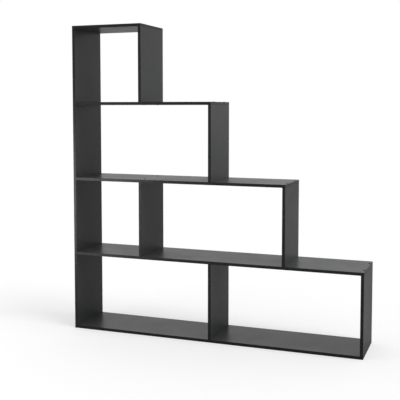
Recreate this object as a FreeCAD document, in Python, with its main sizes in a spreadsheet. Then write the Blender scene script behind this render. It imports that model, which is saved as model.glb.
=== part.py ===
import FreeCAD, Part
import os

import Sketcher

# A step-shaped open shelving unit in grey melamine-faced board. It stands free, is open at
# the front and the back, and loses one column at each tier from the floor to the top.
# Every board is a flat panel with banded edges, drilled for connecting screws and dowels.
#
# The frame: +X runs from the tall side to the low end, the front faces -Y, +Z is up, and
# the origin is on the floor under the middle of the unit. All lengths are in millimetres.

DRIVING_SIZES = [
    ("clear_width", 362, "inside width of one column"),
    ("clear_height", 381, "inside height of one tier"),
    ("board_depth", 286, "front to back over the edging"),
    ("board_thickness", 15, "every board"),
    ("edging_thickness", 0.8, "plastic strip on each bare edge"),
    ("edging_rounding", 0.5, "radius along the strip's outer edges"),
    ("screw_inset", 60, "screw axis from the front or rear face"),
    ("dowel_pitch", 32, "dowel axis from its screw, towards the middle"),
    ("screw_length", 50, "from the flat of the head to the tip"),
    ("screw_diameter", 7, "over the thread, and over the plain neck"),
    ("screw_core_diameter", 5, "between the turns of the thread"),
    ("screw_neck_length", 12, "plain length under the flat of the head"),
    ("screw_tip_length", 4, "tapered end"),
    ("screw_tip_diameter", 2.5, "blunt end of the taper"),
    ("screw_head_diameter", 10, "over the head"),
    ("screw_head_rim", 0.6, "cylindrical rim above the cone of the head"),
    ("thread_pitch", 3.5, "from turn to turn"),
    ("thread_crest", 0.3, "flat on top of each turn"),
    ("socket_width", 4, "hexagon socket, across the flats"),
    ("socket_depth", 3.5, "hexagon socket"),
    ("dowel_diameter", 8, "beech dowel"),
    ("dowel_length", 30, "beech dowel"),
    ("dowel_face_depth", 11, "length of the dowel that sits in a board's face"),
    ("dowel_chamfer", 1, "at both ends of the dowel"),
    ("cap_diameter", 12, "cover cap over a screw head"),
    ("cap_thickness", 1.2, "cover cap, above the board"),
    ("cap_rounding", 0.5, "radius round the cap's rim"),
    ("cap_stem_length", 3, "hexagon stem that plugs into the screw"),
    ("drill_play", 0.1, "gap between a fastener and the wall of its hole"),
    ("drill_spare", 1.5, "hole that runs on past the end of a fastener"),
]

# From the floor up. Each tier stands on the shelf before it in the list, and is one column
# shorter than the tier below.
COLUMNS = 4
TIERS = ["lower", "middle", "upper", "top"]
SHELF_NAMES = ["bottom_panel", "lower_shelf", "middle_shelf", "upper_shelf", "top_panel"]

# The tall side stands in column 0. A tier's end panel stands in its last column.
DIVIDER_COLUMNS = {"lower": 2, "middle": 1}

# No screw head shows on the shelf over this divider, so dowels alone locate its top.
DOWELLED_TOP = "lower_divider"


def last_column(tier):
    return COLUMNS - tier


# An upright has a name, a column and the tier that it stands in.
UPRIGHTS = [(f"{name}_end_panel", last_column(tier), tier) for tier, name in enumerate(TIERS)]
for tier, name in enumerate(TIERS):
    if name in DIVIDER_COLUMNS:
        UPRIGHTS.append((f"{name}_divider", DIVIDER_COLUMNS[name], tier))

# A shelf has a name, a level and the column that it runs to from the tall side. It lies on
# the tier below it, which the bottom panel doesn't have.
SHELVES = []
for level, name in enumerate(SHELF_NAMES):
    SHELVES.append((name, level, last_column(max(level - 1, 0))))

doc = FreeCAD.newDocument("shelving_unit")
sheet = doc.addObject("Spreadsheet::Sheet", "Sizes")
for row, (alias, value, meaning) in enumerate(DRIVING_SIZES, start=1):
    sheet.set(f"A{row}", meaning)
    sheet.set(f"B{row}", str(value))
    sheet.setAlias(f"B{row}", alias)
doc.recompute()


# Places that follow from the driving sizes, written as expressions on the sheet.

def size(name):
    return f"Sizes.{name}"


THICKNESS = size("board_thickness")
DEPTH = size("board_depth")
COLUMN_STEP = f"({size('clear_width')} + {THICKNESS})"
TIER_STEP = f"({size('clear_height')} + {THICKNESS})"
OUTER_LEFT = f"(-({COLUMNS} * {COLUMN_STEP} + {THICKNESS}) / 2)"
FRONT = f"(-{DEPTH} / 2)"
REAR = f"({DEPTH} / 2)"
SCREW_HOLE = f"({size('screw_diameter')} + 2 * {size('drill_play')})"
DOWEL_HOLE = f"({size('dowel_diameter')} + 2 * {size('drill_play')})"
HEAD_CONE = f"(({size('screw_head_diameter')} - {size('screw_diameter')}) / 2)"

# Distances from a board's front face to the axes of its screws and of its dowels.
SCREW_ROWS = [size("screw_inset"), f"({DEPTH} - {size('screw_inset')})"]
DOWEL_ROWS = [
    f"({size('screw_inset')} + {size('dowel_pitch')})",
    f"({DEPTH} - {size('screw_inset')} - {size('dowel_pitch')})",
]

# A board is drawn lying along X with its upper face on top. Standing, it runs along Z, and
# its upper face looks to -X. A fastener is drawn along Z, in the way that it is driven.
X_AXIS, Y_AXIS, Z_AXIS = (FreeCAD.Vector(*way) for way in ((1, 0, 0), (0, 1, 0), (0, 0, 1)))
AS_DRAWN = FreeCAD.Rotation(Z_AXIS, 0)
STANDING = FreeCAD.Rotation(Y_AXIS, -90)
TURNED_OVER = FreeCAD.Rotation(X_AXIS, 180)
TOWARDS_RIGHT = FreeCAD.Rotation(Y_AXIS, 90)
ALONG_DEPTH = FreeCAD.Rotation(Z_AXIS, 90)


def upright_right_face(column):
    return f"({OUTER_LEFT} + {column} * {COLUMN_STEP} + {THICKNESS})"


def upright_middle(column):
    return f"({OUTER_LEFT} + {column} * {COLUMN_STEP} + {THICKNESS} / 2)"


def shelf_underside(level):
    return f"({level} * {TIER_STEP})"


def shelf_top(level):
    return f"({level} * {TIER_STEP} + {THICKNESS})"


# Building blocks.

def place(thing, x, y, z, rotation):
    """Puts a thing at a point given by three expressions, turned by a rotation."""
    thing.Placement = FreeCAD.Placement(FreeCAD.Vector(), rotation)
    thing.setExpression("Placement.Base.x", x)
    thing.setExpression("Placement.Base.y", y)
    thing.setExpression("Placement.Base.z", z)


def new_body(label):
    body = doc.addObject("PartDesign::Body", "Body")
    body.Label = label
    return body


def new_sketch(body, role, offset=None):
    """A sketch on one of the body's own origin planes, moved along that plane's normal."""
    plane = next(item for item in body.Origin.OriginFeatures if item.Role == role)
    sketch = body.newObject("Sketcher::SketchObject", "Sketch")
    sketch.AttachmentSupport = (plane, "")
    sketch.MapMode = "FlatFace"
    if offset is not None:
        sketch.setExpression("AttachmentOffset.Base.z", offset)
    return sketch


def value_of(expression):
    """The number that an expression on the sheet stands for."""
    return float(sheet.evalExpression(expression))


def constrain(sketch, kind, *items, to):
    """Adds a dimension to a sketch and binds it to an expression."""
    index = sketch.addConstraint(Sketcher.Constraint(kind, *items, value_of(to)))
    sketch.setExpression(f"Constraints[{index}]", to)


def draw_outline(sketch, points):
    """A closed outline through points, each a pair of expressions that are never negative."""
    places = [FreeCAD.Vector(value_of(x), value_of(y), 0) for x, y in points]
    lines = []
    for start, end in zip(places, places[1:] + places[:1]):
        lines.append(sketch.addGeometry(Part.LineSegment(start, end)))
    for line, following in zip(lines, lines[1:] + lines[:1]):
        sketch.addConstraint(Sketcher.Constraint("Coincident", line, 2, following, 1))
    for line, (x, y) in zip(lines, points):
        constrain(sketch, "DistanceX", -1, 1, line, 1, to=x)
        constrain(sketch, "DistanceY", -1, 1, line, 1, to=y)


def draw_circles(sketch, centres, diameter):
    """Circles of one diameter, at centres given by pairs of expressions."""
    for x, y in centres:
        middle = FreeCAD.Vector(value_of(x), value_of(y), 0)
        circle = sketch.addGeometry(Part.Circle(middle, Z_AXIS, value_of(diameter) / 2))
        constrain(sketch, "DistanceX", -1, 1, circle, 3, to=x)
        constrain(sketch, "DistanceY", -1, 1, circle, 3, to=y)
        constrain(sketch, "Diameter", circle, to=diameter)


def draw_hexagon(sketch, across_flats):
    """A hexagon round the sketch's origin, on a construction circle through its corners."""
    across_corners = f"({across_flats} / cos(30))"
    ring = Part.Circle(FreeCAD.Vector(), Z_AXIS, value_of(across_corners) / 2)
    circle = sketch.addGeometry(ring, True)
    sketch.addConstraint(Sketcher.Constraint("Coincident", circle, 3, -1, 1))
    constrain(sketch, "Diameter", circle, to=across_corners)
    corners = [ring.value(turn * ring.LastParameter / 6) for turn in range(6)]
    sides = []
    for start, end in zip(corners, corners[1:] + corners[:1]):
        sides.append(sketch.addGeometry(Part.LineSegment(start, end)))
    for side, following in zip(sides, sides[1:] + sides[:1]):
        sketch.addConstraint(Sketcher.Constraint("Coincident", side, 2, following, 1))
        sketch.addConstraint(Sketcher.Constraint("PointOnObject", side, 2, circle))
    for side in sides[1:]:
        sketch.addConstraint(Sketcher.Constraint("Equal", sides[0], side))
    sketch.addConstraint(Sketcher.Constraint("PointOnObject", sides[0], 1, -1))


def pad(body, sketch, length, reversed_way=False):
    feature = body.newObject("PartDesign::Pad", "Pad")
    feature.Profile = sketch
    feature.Reversed = reversed_way
    feature.setExpression("Length", length)
    doc.recompute()
    return feature


def revolve(body, sketch):
    """A full turn of a profile about the body's Z axis."""
    axis = next(item for item in body.Origin.OriginFeatures if item.Role == "Z_Axis")
    feature = body.newObject("PartDesign::Revolution", "Revolution")
    feature.Profile = sketch
    feature.ReferenceAxis = (axis, "")
    feature.Angle = 360
    doc.recompute()
    return feature


def cut_must_bite(body, before):
    """A cut that points away from the solid removes nothing and shows no error."""
    if body.Shape.Volume >= before:
        raise RuntimeError(f"a cut in {body.Label} removed nothing")


def pocket(body, sketch, depth, reversed_way=False):
    before = body.Shape.Volume
    feature = body.newObject("PartDesign::Pocket", "Pocket")
    feature.Profile = sketch
    feature.Reversed = reversed_way
    feature.setExpression("Length", depth)
    doc.recompute()
    cut_must_bite(body, before)
    return feature


def drill_face(body, centres, from_above, depth):
    """Blind dowel holes in a board's upper or lower face."""
    sketch = new_sketch(body, "XY_Plane", THICKNESS if from_above else None)
    draw_circles(sketch, centres, DOWEL_HOLE)
    pocket(body, sketch, depth, reversed_way=not from_above)


def drill_for_heads(body, centres, from_above):
    """Screw holes right through a board, sunk for the heads on the upper or lower face."""
    before = body.Shape.Volume
    sketch = new_sketch(body, "XY_Plane", THICKNESS if from_above else None)
    draw_circles(sketch, centres, SCREW_HOLE)
    doc.recompute()
    hole = body.newObject("PartDesign::Hole", "Hole")
    hole.Profile = sketch
    doc.recompute()
    hole.Reversed = not from_above
    hole.DepthType = "ThroughAll"
    hole.ThreadType = "None"
    hole.HoleCutType = "Counterdrill"
    hole.HoleCutCustomValues = True
    hole.HoleCutCountersinkAngle = 90
    hole.setExpression("Diameter", SCREW_HOLE)
    hole.setExpression("HoleCutDiameter", f"{size('screw_head_diameter')} + 2 * {size('drill_play')}")
    hole.setExpression("HoleCutDepth", size("screw_head_rim"))
    doc.recompute()
    cut_must_bite(body, before)


def drill_end(body, rows, diameter, depth, at_far_end=None):
    """Holes along a board, from its near end, or from its far end at the given distance."""
    sketch = new_sketch(body, "YZ_Plane", at_far_end)
    draw_circles(sketch, [(row, f"({THICKNESS} / 2)") for row in rows], diameter)
    pocket(body, sketch, depth, reversed_way=at_far_end is None)


# Depths of the holes for the screws and the dowels.
END_SCREW_DEPTH = f"({size('screw_length')} - {THICKNESS} + {size('drill_spare')})"
END_DOWEL_DEPTH = (
    f"({size('dowel_length')} - {size('dowel_face_depth')} + {size('drill_spare')})"
)
FACE_DOWEL_DEPTH = f"({size('dowel_face_depth')} + {size('drill_spare')})"


# Boards.

def make_board(label, length, banded_end):
    """A board from the origin along X, less the strips on its front, rear and banded end."""
    edging = size("edging_thickness")
    end = f"({length} - {edging})" if banded_end else length
    rear = f"({DEPTH} - {edging})"
    board = new_body(label)
    sketch = new_sketch(board, "XY_Plane")
    draw_outline(sketch, [("0", edging), (end, edging), (end, rear), ("0", rear)])
    pad(board, sketch, THICKNESS)
    return board


def along(stations, rows):
    """Hole centres on a board's face: each station along it, at each row from the front."""
    return [(station, row) for station in stations for row in rows]


def upright_station(column):
    """How far from a shelf's near end the middle of an upright is."""
    return f"({column} * {COLUMN_STEP} - {THICKNESS} / 2)"


def make_shelf(label, level, end_column):
    """A shelf, fastened to the tall side, to the uprights on it and to those under it."""
    shelf = make_board(label, f"({end_column} * {COLUMN_STEP})", banded_end=True)
    on_it = [upright_station(column) for name, column, tier in UPRIGHTS if tier == level]
    under_it = [
        (name, upright_station(column)) for name, column, tier in UPRIGHTS if tier == level - 1
    ]
    screwed_under_it = [station for name, station in under_it if name != DOWELLED_TOP]
    if screwed_under_it:
        drill_for_heads(shelf, along(screwed_under_it, SCREW_ROWS), from_above=True)
    if under_it:
        stations = [station for name, station in under_it]
        drill_face(shelf, along(stations, DOWEL_ROWS), from_above=False, depth=FACE_DOWEL_DEPTH)
    if on_it:
        drill_for_heads(shelf, along(on_it, SCREW_ROWS), from_above=False)
        drill_face(shelf, along(on_it, DOWEL_ROWS), from_above=True, depth=FACE_DOWEL_DEPTH)
    drill_end(shelf, SCREW_ROWS, SCREW_HOLE, END_SCREW_DEPTH)
    drill_end(shelf, DOWEL_ROWS, DOWEL_HOLE, END_DOWEL_DEPTH)
    place(shelf, upright_right_face(0), FRONT, shelf_underside(level), AS_DRAWN)
    return shelf


def make_upright(label, column, tier):
    """An upright between two shelves, drilled in both ends."""
    height = size("clear_height")
    upright = make_board(label, height, banded_end=False)
    drill_end(upright, SCREW_ROWS, SCREW_HOLE, END_SCREW_DEPTH)
    drill_end(upright, DOWEL_ROWS, DOWEL_HOLE, END_DOWEL_DEPTH)
    if label != DOWELLED_TOP:
        drill_end(upright, SCREW_ROWS, SCREW_HOLE, END_SCREW_DEPTH, at_far_end=height)
    drill_end(upright, DOWEL_ROWS, DOWEL_HOLE, END_DOWEL_DEPTH, at_far_end=height)
    place(upright, upright_right_face(column), FRONT, shelf_top(tier), STANDING)
    return upright


UNIT_HEIGHT = f"({len(TIERS)} * {TIER_STEP} + {THICKNESS})"


def make_tall_side():
    """The tall side, screwed from outside into the near end of every shelf."""
    side = make_board("tall_side_panel", UNIT_HEIGHT, banded_end=True)
    stations = [f"({level} * {TIER_STEP} + {THICKNESS} / 2)" for name, level, end in SHELVES]
    drill_for_heads(side, along(stations, SCREW_ROWS), from_above=True)
    drill_face(side, along(stations, DOWEL_ROWS), from_above=False, depth=FACE_DOWEL_DEPTH)
    place(side, upright_right_face(0), FRONT, "0", STANDING)
    return side


# Edging strips.

def edges_at(feature, wanted):
    """Names of the edges whose middle point passes a test."""
    names = []
    for number, edge in enumerate(feature.Shape.Edges, start=1):
        if wanted(edge.CenterOfMass):
            names.append(f"Edge{number}")
    return names


def make_strip(length):
    """A strip along X with its outer face at y = 0, rounded along that face's long edges."""
    strip = new_body("strip")
    outer, glued = "0", size("edging_thickness")
    sketch = new_sketch(strip, "YZ_Plane")
    draw_outline(sketch, [(outer, "0"), (glued, "0"), (glued, THICKNESS), (outer, THICKNESS)])
    body = pad(strip, sketch, length)
    middle = value_of(length) / 2
    tiny = value_of(size("edging_rounding")) / 2
    rounding = strip.newObject("PartDesign::Fillet", "Fillet")
    long_edges = edges_at(body, lambda point: abs(point.y) < tiny and abs(point.x - middle) < tiny)
    rounding.Base = (body, long_edges)
    rounding.setExpression("Radius", size("edging_rounding"))
    doc.recompute()
    return strip


def copy_of(original, x, y, z, rotation):
    copy = doc.addObject("App::Link", "Copy")
    copy.LinkedObject = original
    place(copy, x, y, z, rotation)
    return copy


def group(label, members):
    """Separate solids that share one sub-part."""
    together = doc.addObject("Part::Compound", "Group")
    together.Label = label
    together.Links = members
    return together


# An end strip fits between the front strip and the rear one.
END_STRIP_START = f"({FRONT} + {size('edging_thickness')})"


def shelf_strips(level, end_column):
    """The front, rear and right end strips of a shelf."""
    near, far = upright_right_face(0), upright_right_face(end_column)
    strip = make_strip(f"({end_column} * {COLUMN_STEP})")
    return [
        copy_of(strip, near, FRONT, shelf_underside(level), AS_DRAWN),
        copy_of(strip, near, REAR, shelf_top(level), TURNED_OVER),
        copy_of(end_strip, far, END_STRIP_START, shelf_underside(level), ALONG_DEPTH),
    ]


def standing_strips(strip, right_face, foot):
    """The front and rear strips of a board that stands with its right face at an x."""
    left_face = f"({right_face} - {THICKNESS})"
    return [
        copy_of(strip, right_face, FRONT, foot, STANDING),
        copy_of(strip, left_face, REAR, foot, STANDING * TURNED_OVER),
    ]


# Fasteners. Each is drawn with its reference face at z = 0 and driven towards +Z.

def make_screw():
    """A connecting screw: sunk flat head, plain neck, coarse thread drawn as rings."""
    screw = new_body("screw")
    rim, neck_end = size("screw_head_rim"), size("screw_neck_length")
    head, neck = f"({size('screw_head_diameter')} / 2)", f"({size('screw_diameter')} / 2)"
    core, tip = f"({size('screw_core_diameter')} / 2)", f"({size('screw_tip_diameter')} / 2)"
    cone_end = f"({rim} + {HEAD_CONE})"
    core_start = f"({neck_end} + {neck} - {core})"
    taper_start = f"({size('screw_length')} - {size('screw_tip_length')})"
    profile = new_sketch(screw, "XZ_Plane")
    draw_outline(profile, [
        ("0", "0"),
        (head, "0"),
        (head, rim),
        (neck, cone_end),
        (neck, neck_end),
        (core, core_start),
        (core, taper_start),
        (tip, size("screw_length")),
        ("0", size("screw_length")),
    ])
    revolve(screw, profile)

    flank = f"(({neck} - {core}) * tan(30))"
    crest_start = f"({core_start} + {flank})"
    crest_end = f"({crest_start} + {size('thread_crest')})"
    turn_end = f"({crest_end} + {flank})"
    turn_profile = new_sketch(screw, "XZ_Plane")
    draw_outline(turn_profile, [
        ("0", core_start),
        (core, core_start),
        (neck, crest_start),
        (neck, crest_end),
        (core, turn_end),
        ("0", turn_end),
    ])
    turn = revolve(screw, turn_profile)
    turns = f"floor(({taper_start} - {turn_end}) / {size('thread_pitch')}) + 1"
    axis = next(item for item in screw.Origin.OriginFeatures if item.Role == "Z_Axis")
    thread = screw.newObject("PartDesign::LinearPattern", "LinearPattern")
    thread.Originals = [turn]
    thread.Direction = (axis, [""])
    thread.setExpression("Occurrences", turns)
    thread.setExpression("Length", f"({turns} - 1) * {size('thread_pitch')}")
    screw.Tip = thread
    doc.recompute()

    socket = new_sketch(screw, "XY_Plane")
    draw_hexagon(socket, size("socket_width"))
    pocket(screw, socket, size("socket_depth"), reversed_way=True)
    return screw


def make_dowel():
    """A beech dowel whose short part, at z below 0, sits in a board's face."""
    dowel = new_body("dowel")
    sketch = new_sketch(dowel, "XY_Plane", f"(-{size('dowel_face_depth')})")
    draw_circles(sketch, [("0", "0")], size("dowel_diameter"))
    rod = pad(dowel, sketch, size("dowel_length"))
    radius = value_of(size("dowel_diameter")) / 2
    bevel = dowel.newObject("PartDesign::Chamfer", "Chamfer")
    bevel.Base = (rod, edges_at(rod, lambda point: abs(point.x) < radius / 2))
    bevel.setExpression("Size", size("dowel_chamfer"))
    doc.recompute()
    return dowel


def make_cap():
    """A cover cap: a rounded disc on the board, and a stem in the screw's socket."""
    cap = new_body("cap")
    face = new_sketch(cap, "XY_Plane")
    draw_circles(face, [("0", "0")], size("cap_diameter"))
    disc = pad(cap, face, size("cap_thickness"), reversed_way=True)
    height = value_of(size("cap_thickness"))
    rim = cap.newObject("PartDesign::Fillet", "Fillet")
    rim.Base = (disc, edges_at(disc, lambda point: abs(point.z + height) < height / 4))
    rim.setExpression("Radius", size("cap_rounding"))
    doc.recompute()
    stem = new_sketch(cap, "XY_Plane")
    draw_hexagon(stem, f"({size('socket_width')} - 2 * {size('drill_play')})")
    pad(cap, stem, size("cap_stem_length"))
    return cap


# The assembly.

boards = [make_tall_side()]
boards += [make_shelf(*shelf) for shelf in SHELVES]
boards += [make_upright(*upright) for upright in UPRIGHTS]

inner_left = upright_right_face(0)
end_strip = make_strip(f"({DEPTH} - 2 * {size('edging_thickness')})")
tall_strips = standing_strips(make_strip(UNIT_HEIGHT), inner_left, "0")
tall_strips.append(
    copy_of(end_strip, inner_left, END_STRIP_START, UNIT_HEIGHT, STANDING * ALONG_DEPTH)
)
edgings = [group("tall_side_panel_edging", tall_strips)]
for label, level, end_column in SHELVES:
    edgings.append(group(f"{label}_edging", shelf_strips(level, end_column)))
upright_strip = make_strip(size("clear_height"))
for label, column, tier in UPRIGHTS:
    strips = standing_strips(upright_strip, upright_right_face(column), shelf_top(tier))
    edgings.append(group(f"{label}_edging", strips))

screw, dowel, cap = make_screw(), make_dowel(), make_cap()
fasteners = {}


def fasten(board, rotation, head_at, meeting_at, screws=True, caps=True):
    """Joins a board to the end of another, at front and rear.

    The screw heads lie at the x and z of head_at, and the two boards meet at meeting_at.
    """
    for row in DOWEL_ROWS:
        y = f"({FRONT} + {row})"
        member = copy_of(dowel, meeting_at[0], y, meeting_at[1], rotation)
        fasteners.setdefault(f"{board}_dowels", []).append(member)
    for row in SCREW_ROWS if screws else []:
        y = f"({FRONT} + {row})"
        member = copy_of(screw, head_at[0], y, head_at[1], rotation)
        fasteners.setdefault(f"{board}_screws", []).append(member)
        if caps:
            member = copy_of(cap, head_at[0], y, head_at[1], rotation)
            fasteners.setdefault(f"{board}_screw_caps", []).append(member)


for label, level, end_column in SHELVES:
    middle = f"({shelf_underside(level)} + {THICKNESS} / 2)"
    fasten("tall_side_panel", TOWARDS_RIGHT, (OUTER_LEFT, middle), (inner_left, middle))

for label, column, tier in UPRIGHTS:
    x = upright_middle(column)
    board_under, board_over = SHELF_NAMES[tier], SHELF_NAMES[tier + 1]
    over_top, over_underside = shelf_top(tier + 1), shelf_underside(tier + 1)
    under_top, under_underside = shelf_top(tier), shelf_underside(tier)
    screwed = label != DOWELLED_TOP
    fasten(board_over, TURNED_OVER, (x, over_top), (x, over_underside), screws=screwed)
    # The heads under the bottom panel face the floor and have no caps.
    capped = tier > 0
    fasten(board_under, AS_DRAWN, (x, under_underside), (x, under_top), caps=capped)

groups = [group(label, members) for label, members in fasteners.items()]
doc.recompute()

parts = boards + edgings + groups

for thing in doc.Objects:
    if "Invalid" in thing.State or "Error" in thing.State:
        raise RuntimeError(f"{thing.Label} failed to build")
for part in parts:
    if part.Shape.isNull() or not part.Shape.isValid():
        raise RuntimeError(f"{part.Label} has no valid shape")
for board in boards:
    if len(board.Shape.Solids) != 1:
        raise RuntimeError(f"{board.Label} is not one solid")
for together in edgings + groups:
    if len(together.Shape.Solids) != len(together.Links):
        raise RuntimeError(f"{together.Label} lost a solid")

os.makedirs("parts", exist_ok=True)
for part in parts:
    part.Shape.exportStep(f"parts/{part.Label}.step")

for part in parts:
    print(part.Label, len(part.Shape.Solids), round(part.Shape.Volume))
print("sub-parts:", len(parts))
print("overall box:", Part.makeCompound([part.Shape for part in parts]).BoundBox)
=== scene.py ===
import math

import bmesh
import bpy
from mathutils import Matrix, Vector


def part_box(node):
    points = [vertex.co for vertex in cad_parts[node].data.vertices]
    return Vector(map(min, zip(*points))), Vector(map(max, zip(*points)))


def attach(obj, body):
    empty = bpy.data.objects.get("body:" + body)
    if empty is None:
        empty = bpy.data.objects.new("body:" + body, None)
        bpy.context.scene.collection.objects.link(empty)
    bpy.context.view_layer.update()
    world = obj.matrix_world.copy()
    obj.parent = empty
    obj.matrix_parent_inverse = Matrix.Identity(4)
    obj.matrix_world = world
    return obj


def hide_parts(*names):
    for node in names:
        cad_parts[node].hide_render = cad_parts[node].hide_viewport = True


# The looks of a step-shaped open shelving unit in anthracite melamine-faced board, on a white
# studio floor. Lengths are in metres, in the part's own frame: +X runs from the tall side to
# the low end, the front faces -Y, and the floor is at z = 0.

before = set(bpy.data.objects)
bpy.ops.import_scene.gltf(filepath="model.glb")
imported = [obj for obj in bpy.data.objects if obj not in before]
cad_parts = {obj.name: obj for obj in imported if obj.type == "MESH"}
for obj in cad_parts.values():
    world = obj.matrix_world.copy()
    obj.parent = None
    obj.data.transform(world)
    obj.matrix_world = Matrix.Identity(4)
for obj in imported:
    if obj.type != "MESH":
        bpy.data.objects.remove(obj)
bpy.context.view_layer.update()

X, Y, Z = (Vector(way) for way in ((1, 0, 0), (0, 1, 0), (0, 0, 1)))

SHELVES = ["bottom_panel", "lower_shelf", "middle_shelf", "upper_shelf", "top_panel"]
UPRIGHTS = [
    "lower_end_panel",
    "middle_end_panel",
    "upper_end_panel",
    "top_end_panel",
    "lower_divider",
    "middle_divider",
]
TALL_SIDE = "tall_side_panel"

# The upright whose top is held by dowels alone, so the shelf over it has no screws there.
DOWELLED_TOP = "lower_divider"


def add_object(name, data):
    """A new object in the scene."""
    item = bpy.data.objects.new(name, data)
    bpy.context.scene.collection.objects.link(item)
    return item


# The camera, at the photograph's viewing angle. The lens shift keeps the uprights nearly
# parallel, as they are in the photograph.

CAMERA_PLACE = Vector((1.2759, -3.6957, 1.1731))
CAMERA_TURN = math.radians(20.452)
CAMERA_DIP = math.radians(3.887)
CAMERA_LENS = 69.13
CAMERA_SHIFT = -0.10


def make_camera():
    data = bpy.data.cameras.new("camera")
    data.lens = CAMERA_LENS
    data.shift_y = CAMERA_SHIFT
    camera = add_object("camera", data)
    camera.location = CAMERA_PLACE
    camera.rotation_euler = (math.radians(90) - CAMERA_DIP, 0, CAMERA_TURN)
    bpy.context.scene.camera = camera


# Shader nodes.

# Most of a noise texture's values lie in this range.
NOISE_LOW, NOISE_HIGH = 0.3, 0.7

# The Mix node's sockets for colours, by number, since other sockets have the same names.
MIX_SHARE, MIX_FIRST, MIX_SECOND, MIX_RESULT = 0, 6, 7, 2


class Graph:
    """The shader nodes of one material or world, added and linked one at a time."""

    def __init__(self, owner):
        self.owner = owner
        owner.use_nodes = True
        self.tree = owner.node_tree
        self.tree.nodes.clear()
        self.places = self.add("ShaderNodeTexCoord").outputs

    def add(self, kind, inputs=None, **settings):
        """A node, with its settings, and with values or other nodes' outputs as inputs."""
        node = self.tree.nodes.new(kind)
        for name, value in settings.items():
            setattr(node, name, value)
        for socket, value in (inputs or {}).items():
            if isinstance(value, bpy.types.NodeSocket):
                self.tree.links.new(value, node.inputs[socket])
            else:
                node.inputs[socket].default_value = value
        return node

    def noise(self, scale, detail, stretch=(1, 1, 1)):
        """A noise whose features are about 1 / scale metres across."""
        mapping = {"Vector": self.places["Object"], "Scale": stretch}
        place = self.add("ShaderNodeMapping", mapping).outputs["Vector"]
        inputs = {"Vector": place, "Scale": scale, "Detail": detail}
        return self.add("ShaderNodeTexNoise", inputs).outputs["Fac"]

    def remap(self, value, start, end, low, high, **settings):
        """A number, mapped from the range start to end to the range low to high."""
        inputs = {"Value": value, "From Min": start, "From Max": end, "To Min": low, "To Max": high}
        return self.add("ShaderNodeMapRange", inputs, **settings).outputs["Result"]

    def spread(self, value, low, high):
        """A noise value, mapped from its usual range to the range low to high."""
        return self.remap(value, NOISE_LOW, NOISE_HIGH, low, high)

    def blend(self, share, first, second):
        """A colour between two colours."""
        inputs = {MIX_SHARE: share, MIX_FIRST: first, MIX_SECOND: second}
        return self.add("ShaderNodeMix", inputs, data_type="RGBA").outputs[MIX_RESULT]

    def calculate(self, operation, first, second):
        """A number worked out of two numbers."""
        inputs = {0: first, 1: second}
        return self.add("ShaderNodeMath", inputs, operation=operation).outputs["Value"]

    def bump(self, height, depth):
        """A normal for a surface whose relief is depth deep."""
        inputs = {"Height": height, "Distance": depth, "Strength": 1.0}
        return self.add("ShaderNodeBump", inputs).outputs["Normal"]

    def finish(self, **inputs):
        """The material, from Principled inputs with underscores for spaces."""
        named = {name.replace("_", " "): value for name, value in inputs.items()}
        surface = self.add("ShaderNodeBsdfPrincipled", named).outputs["BSDF"]
        self.add("ShaderNodeOutputMaterial", {"Surface": surface})
        return self.owner


def new_graph(name):
    """The graph of a new material."""
    return Graph(bpy.data.materials.new(name))


def grey(value, coolness=0.03):
    """A grey that leans a little to blue."""
    return (value * (1 - coolness), value, value * (1 + coolness), 1)


# Materials. A noise's scale is in features per metre, and a relief's depth in metres.

PLASTIC_IOR = 1.5


def make_melamine():
    """Anthracite melamine: a fine pearl relief, faint flecks and clouds, and an uneven sheen."""
    graph = new_graph("melamine_anthracite")
    fleck = graph.spread(graph.noise(scale=700, detail=3), low=0, high=1)
    cloud = graph.spread(graph.noise(scale=40, detail=5), low=0, high=1)
    pale = graph.blend(cloud, grey(0.055), grey(0.061))
    dark = graph.blend(cloud, grey(0.044), grey(0.050))
    handled = graph.spread(graph.noise(scale=7, detail=6), low=0.28, high=0.35)
    pores = graph.spread(graph.noise(scale=1100, detail=2), low=-0.02, high=0.02)
    return graph.finish(
        Base_Color=graph.blend(fleck, dark, pale),
        Roughness=graph.calculate("ADD", handled, pores),
        Normal=graph.bump(graph.noise(scale=800, detail=3), depth=0.00006),
        IOR=PLASTIC_IOR,
    )


def make_edging_plastic():
    """Plastic edging: satin, with a nearly black base that is painted shade for the dim edges, and
    paler where its corners are rubbed.
    """
    graph = new_graph("edging_anthracite")
    rub = graph.add("ShaderNodeAttribute", attribute_name="rub").outputs["Fac"]
    patchy = graph.spread(graph.noise(scale=35, detail=4), low=0, high=1)
    worn = graph.calculate("MULTIPLY", rub, patchy)
    mottle = graph.spread(graph.noise(scale=600, detail=3), low=0, high=1)
    # The nearly black base is painted shade: it darkens the edging's own anthracite to the shade on
    # the edges. The fine mottle is the plastic's own.
    plain = graph.blend(mottle, grey(0.007), grey(0.010))
    return graph.finish(
        Base_Color=graph.blend(worn, plain, grey(0.022)),
        Roughness=graph.spread(graph.noise(scale=60, detail=4), low=0.26, high=0.32),
        Normal=graph.bump(graph.noise(scale=1000, detail=3), depth=0.00005),
        IOR=PLASTIC_IOR,
    )


def make_cap_plastic():
    """Moulded plastic of the cover caps: dark and dull, with a fine spark texture."""
    graph = new_graph("cap_plastic")
    mottle = graph.spread(graph.noise(scale=300, detail=2), low=0, high=1)
    return graph.finish(
        Base_Color=graph.blend(mottle, grey(0.008), grey(0.012)),
        Roughness=graph.spread(graph.noise(scale=200, detail=2), low=0.50, high=0.60),
        Normal=graph.bump(graph.noise(scale=1500, detail=2), depth=0.00004),
        IOR=PLASTIC_IOR,
        Specular_IOR_Level=0.2,
    )


def make_screw_steel():
    """Zinc-plated steel with the fine marks of its making."""
    graph = new_graph("screw_steel")
    marks = graph.noise(scale=2500, detail=3, stretch=(1, 1, 0.1))
    return graph.finish(
        Base_Color=graph.blend(graph.spread(marks, low=0, high=1), grey(0.42), grey(0.55)),
        Metallic=1.0,
        Roughness=graph.spread(marks, low=0.28, high=0.42),
        Normal=graph.bump(marks, depth=0.00001),
    )


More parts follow.
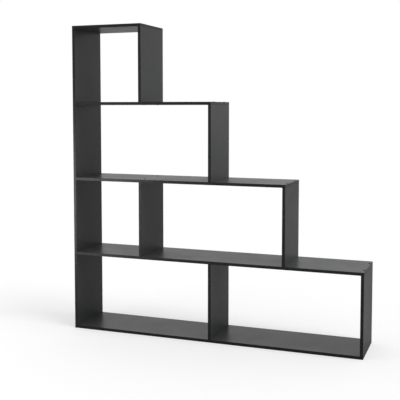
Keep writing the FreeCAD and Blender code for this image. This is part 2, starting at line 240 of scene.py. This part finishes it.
def make_beech(name, stretch):
    """Pale beech, with its grain and short dark rays along the dowel."""
    graph = new_graph(name)
    grain = graph.spread(graph.noise(scale=900, detail=4, stretch=stretch), low=0, high=1)
    pale, dark = (0.55, 0.37, 0.22, 1), (0.40, 0.24, 0.13, 1)
    return graph.finish(
        Base_Color=graph.blend(grain, pale, dark),
        Roughness=graph.spread(grain, low=0.55, high=0.70),
        Normal=graph.bump(grain, depth=0.00005),
    )


melamine = make_melamine()
edging_plastic = make_edging_plastic()
cap_plastic = make_cap_plastic()
screw_steel = make_screw_steel()
beech_lying = make_beech("beech_lying", stretch=(0.08, 1, 1))
beech_standing = make_beech("beech_standing", stretch=(1, 1, 0.08))


def material_of(node):
    """The material of a CAD node that stays as it is."""
    if node == TALL_SIDE + "_dowels":
        return beech_lying
    if node.endswith("_dowels"):
        return beech_standing
    if node.endswith("_screws"):
        return screw_steel
    return melamine


def dress_frame():
    """Gives each CAD node its material."""
    for name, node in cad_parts.items():
        node.data.materials.clear()
        node.data.materials.append(material_of(name))


def add_piece(name, mesh, material, slot, *replaced):
    """Adds a finished bmesh as a piece of the unit that stands for CAD nodes."""
    bmesh.ops.recalc_face_normals(mesh, faces=mesh.faces)
    data = bpy.data.meshes.new(name)
    mesh.to_mesh(data)
    mesh.free()
    data.materials.append(material)
    piece = add_object(name, data)
    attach(piece, "root")
    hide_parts(*replaced)


def bridge(mesh, first, second):
    """The faces between two rings that have equally many vertices."""
    after_first, after_second = first[1:] + first[:1], second[1:] + second[:1]
    corners = zip(first, after_first, after_second, second)
    return [mesh.faces.new(face) for face in corners]


# Rounded corners turn through a quarter of a circle in these steps.
ROUNDING_STEPS = 4
ROUNDING_ANGLES = [step / ROUNDING_STEPS * math.pi / 2 for step in range(ROUNDING_STEPS + 1)]


# Edging strips: a thin plastic strip on each bare edge, with its outer corners rounded.

EDGING_ROUNDING = 0.0005


def strip_outline(width, thickness):
    """The strip's section, as (across, inward, rub) from the corner of its outer face.

    The rub is 1 where the plastic is worn by handling, and 0 where it isn't.
    """
    radius = EDGING_ROUNDING
    near = [
        (radius - radius * math.cos(angle), radius - radius * math.sin(angle))
        for angle in ROUNDING_ANGLES
    ]
    far = [(width - across, inward) for across, inward in reversed(near)]
    rounded = [(across, inward, 1.0) for across, inward in near + far]
    return [(0, thickness, 0.0)] + rounded + [(width, thickness, 0.0)]


def add_strip(mesh, rub_layer, start, along, across, inward, width, thickness):
    """A strip from a corner of its outer face. The vector along has the strip's length."""
    rings = []
    for offset in (Vector(), along):
        ring = []
        for out, deep, rub in strip_outline(width, thickness):
            vertex = mesh.verts.new(start + offset + across * out + inward * deep)
            vertex[rub_layer] = rub
            ring.append(vertex)
        rings.append(ring)
    first, second = rings
    for face in bridge(mesh, first, second):
        narrower_than_rounding = face.calc_area() < along.length * EDGING_ROUNDING
        face.smooth = narrower_than_rounding
    mesh.faces.new(first)
    mesh.faces.new(second)


def make_edging(board, length_axis):
    """The strips of one board. It lies along X or stands along Z, and is as deep as the unit."""
    node = board + "_edging"
    low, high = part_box(board)
    outer_low, outer_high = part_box(node)
    along = (X, Y, Z)[length_axis]
    across = (X, Y, Z)[2 - length_axis]
    width = (high - low).dot(across)
    thickness = low.y - outer_low.y
    length = (outer_high - outer_low).dot(along)
    mesh = bmesh.new()
    rub_layer = mesh.verts.layers.float.new("rub")
    rear = Vector((outer_low.x, outer_high.y, outer_low.z))
    add_strip(mesh, rub_layer, outer_low, along * length, across, Y, width, thickness)
    add_strip(mesh, rub_layer, rear, along * length, across, -Y, width, thickness)
    end_is_banded = (outer_high - high).dot(along) > thickness / 2
    if end_is_banded:
        start = low + along * ((outer_high - low).dot(along))
        add_strip(mesh, rub_layer, start, Y * (high.y - low.y), across, -along, width, thickness)
    add_piece(board + "_edge_strips", mesh, edging_plastic, "edge_strip", node)


# Cover caps: a rounded plastic disc over each screw head, a little higher in its middle.

CAP_DIAMETER = 0.012
CAP_THICKNESS = 0.0012
CAP_ROUNDING = 0.0005
CAP_CROWN = 0.0001
CAP_SIDES = 40
CROWN_RINGS = (0.75, 0.5, 0.25)


def cap_profile():
    """The cap's section, as (radius, height) from the board out to the crown's last ring."""
    radius, top = CAP_DIAMETER / 2, CAP_THICKNESS - CAP_CROWN
    profile = [(radius, 0.0)]
    for angle in ROUNDING_ANGLES:
        across = radius - CAP_ROUNDING + CAP_ROUNDING * math.cos(angle)
        profile.append((across, top - CAP_ROUNDING + CAP_ROUNDING * math.sin(angle)))
    flat = radius - CAP_ROUNDING
    for share in CROWN_RINGS:
        profile.append((flat * share, top + CAP_CROWN * (1 - share ** 2)))
    return profile


def add_cap(mesh, centre, way_out, sideways):
    """A cap on a board's face, at the centre of its screw."""
    other_way = way_out.cross(sideways)
    turns = [2 * math.pi * side / CAP_SIDES for side in range(CAP_SIDES)]
    spokes = [sideways * math.cos(turn) + other_way * math.sin(turn) for turn in turns]
    rings = [
        [mesh.verts.new(centre + way_out * height + spoke * radius) for spoke in spokes]
        for radius, height in cap_profile()
    ]
    for lower, upper in zip(rings, rings[1:]):
        for face in bridge(mesh, lower, upper):
            face.smooth = True
    middle = mesh.verts.new(centre + way_out * CAP_THICKNESS)
    last = rings[-1]
    for vertex, after in zip(last, last[1:] + last[:1]):
        mesh.faces.new((vertex, after, middle)).smooth = True
    mesh.faces.new(rings[0])


def cap_rows(node):
    """The y of the screws at the front and at the rear."""
    low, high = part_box(node)
    return (low.y + CAP_DIAMETER / 2, high.y - CAP_DIAMETER / 2)


def make_tall_side_caps():
    """Caps on the tall side's outer face, at the height of each shelf's end."""
    node = TALL_SIDE + "_screw_caps"
    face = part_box(TALL_SIDE)[0].x
    mesh = bmesh.new()
    for shelf in SHELVES:
        low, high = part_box(shelf)
        for y in cap_rows(node):
            add_cap(mesh, Vector((face, y, (low.z + high.z) / 2)), -X, Y)
    add_piece(TALL_SIDE + "_cover_caps", mesh, cap_plastic, "cover_cap", node)


def touches(height, other):
    """Whether two boards' faces are at one height, to within a cap's thickness."""
    return abs(height - other) < CAP_THICKNESS


def make_shelf_caps(shelf):
    """Caps on a shelf's top over the uprights under it, and on its underside for those on it."""
    node = shelf + "_screw_caps"
    low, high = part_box(shelf)
    cap_low, cap_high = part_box(node)
    mesh = bmesh.new()
    for upright in UPRIGHTS:
        upright_low, upright_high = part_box(upright)
        x = (upright_low.x + upright_high.x) / 2
        if not cap_low.x < x < cap_high.x:
            continue
        screwed_from_above = touches(upright_high.z, low.z) and upright != DOWELLED_TOP
        screwed_from_below = touches(upright_low.z, high.z)
        for y in cap_rows(node):
            if screwed_from_above and cap_high.z > high.z:
                add_cap(mesh, Vector((x, y, high.z)), Z, X)
            if screwed_from_below and cap_low.z < low.z:
                add_cap(mesh, Vector((x, y, low.z)), -Z, X)
    add_piece(shelf + "_cover_caps", mesh, cap_plastic, "cover_cap", node)


# The studio: a soft surrounding light that is brightest overhead, a weak soft key from the
# right, and a low softbox at the front left whose reflection lights the front edges there.
# The floor fades to white. The floor and the background are paler to the camera than the light
# that they give, so the boards stay as dark as they are in the photograph.

FLOOR_REACH = 25.0
FLOOR_GREY = 0.62
FLOOR_LIFT = 0.47

# What the floor throws back falls from the first value to the second between these two x.
FLOOR_BOUNCE = (0.54, 0.33)
BOUNCE_FADE = (-8.0, -1.0)

# The surrounding light grows from the side's to the top's between these two heights of the
# direction that it comes from, and is stronger on the side that it leans to.
WORLD_SIDE_LIGHT = 0.49
WORLD_TOP_LIGHT = 1.05
WORLD_RISE = (0.5, 0.95)
WORLD_LEAN = Vector((-0.22, 0.19, 0))

KEY_FROM = Vector((0.540, -0.112, 0.834))
KEY_STRENGTH = 1.0
KEY_ANGLE = math.radians(30)

FILL_PLACE = Vector((-2.0, -2.2, 0.42))
FILL_TARGET = Vector((-0.76, -0.14, 0.58))
FILL_WIDTH = 1.1
FILL_HEIGHT = 0.90
FILL_POWER = 9.0


def make_floor():
    """A floor that looks paler to the camera than the light that it throws back."""
    graph = new_graph("studio_floor")
    seen = graph.add("ShaderNodeLightPath").outputs["Is Camera Ray"]
    across = graph.add("ShaderNodeSeparateXYZ", {"Vector": graph.places["Object"]}).outputs["X"]
    bounce = graph.remap(across, *BOUNCE_FADE, *FLOOR_BOUNCE)
    dull = graph.add("ShaderNodeBsdfDiffuse", {"Color": bounce}).outputs["BSDF"]
    pale = graph.add("ShaderNodeBsdfDiffuse", {"Color": grey(FLOOR_GREY, 0.0)}).outputs["BSDF"]
    lift = graph.add("ShaderNodeEmission", {"Strength": FLOOR_LIFT}).outputs["Emission"]
    lifted = graph.add("ShaderNodeAddShader", {0: pale, 1: lift}).outputs["Shader"]
    surface = graph.add("ShaderNodeMixShader", {0: seen, 1: dull, 2: lifted}).outputs["Shader"]
    graph.add("ShaderNodeOutputMaterial", {"Surface": surface})
    mesh = bpy.data.meshes.new("floor")
    ways = ((-1, -1), (1, -1), (1, 1), (-1, 1))
    corners = [(x * FLOOR_REACH, y * FLOOR_REACH, 0) for x, y in ways]
    mesh.from_pydata(corners, [], [(0, 1, 2, 3)])
    mesh.materials.append(graph.owner)
    floor = add_object("floor", mesh)


def make_world():
    """The surrounding light, which the camera sees as plain white."""
    graph = Graph(bpy.data.worlds.new("studio"))
    way = graph.places["Generated"]
    height = graph.add("ShaderNodeSeparateXYZ", {"Vector": way}).outputs["Z"]
    dot = graph.add("ShaderNodeVectorMath", {0: way, 1: WORLD_LEAN}, operation="DOT_PRODUCT")
    levels = (WORLD_SIDE_LIGHT, WORLD_TOP_LIGHT)
    upward = graph.remap(height, *WORLD_RISE, *levels, interpolation_type="SMOOTHSTEP")
    strength = graph.calculate("ADD", upward, dot.outputs["Value"])
    light = graph.add("ShaderNodeBackground", {"Strength": strength}).outputs["Background"]
    white = {"Color": (1, 1, 1, 1)}
    backdrop = graph.add("ShaderNodeBackground", white).outputs["Background"]
    seen = graph.add("ShaderNodeLightPath").outputs["Is Camera Ray"]
    surface = graph.add("ShaderNodeMixShader", {0: seen, 1: light, 2: backdrop}).outputs["Shader"]
    graph.add("ShaderNodeOutputWorld", {"Surface": surface})
    bpy.context.scene.world = graph.owner


def aim(light, way):
    """Turns a light, so that it shines along a direction."""
    light.rotation_euler = way.to_track_quat("-Z", "Y").to_euler()


def make_key():
    """A weak, very soft key from the right."""
    data = bpy.data.lights.new("key", "SUN")
    data.energy = KEY_STRENGTH
    data.angle = KEY_ANGLE
    aim(add_object("key", data), -KEY_FROM)


def make_fill():
    """A low softbox at the front left, hidden from the camera."""
    data = bpy.data.lights.new("fill", "AREA")
    data.shape = "RECTANGLE"
    data.size, data.size_y = FILL_WIDTH, FILL_HEIGHT
    data.energy = FILL_POWER
    light = add_object("fill", data)
    light.location = FILL_PLACE
    light.visible_camera = False
    aim(light, FILL_TARGET - FILL_PLACE)


make_camera()
make_floor()
make_world()
make_key()
make_fill()
dress_frame()
for upright in [TALL_SIDE] + UPRIGHTS:
    make_edging(upright, length_axis=2)
for shelf in SHELVES:
    make_edging(shelf, length_axis=0)
make_tall_side_caps()
for shelf in SHELVES:
    if shelf + "_screw_caps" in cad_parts:
        make_shelf_caps(shelf)

bpy.context.scene.view_settings.view_transform = "Standard"
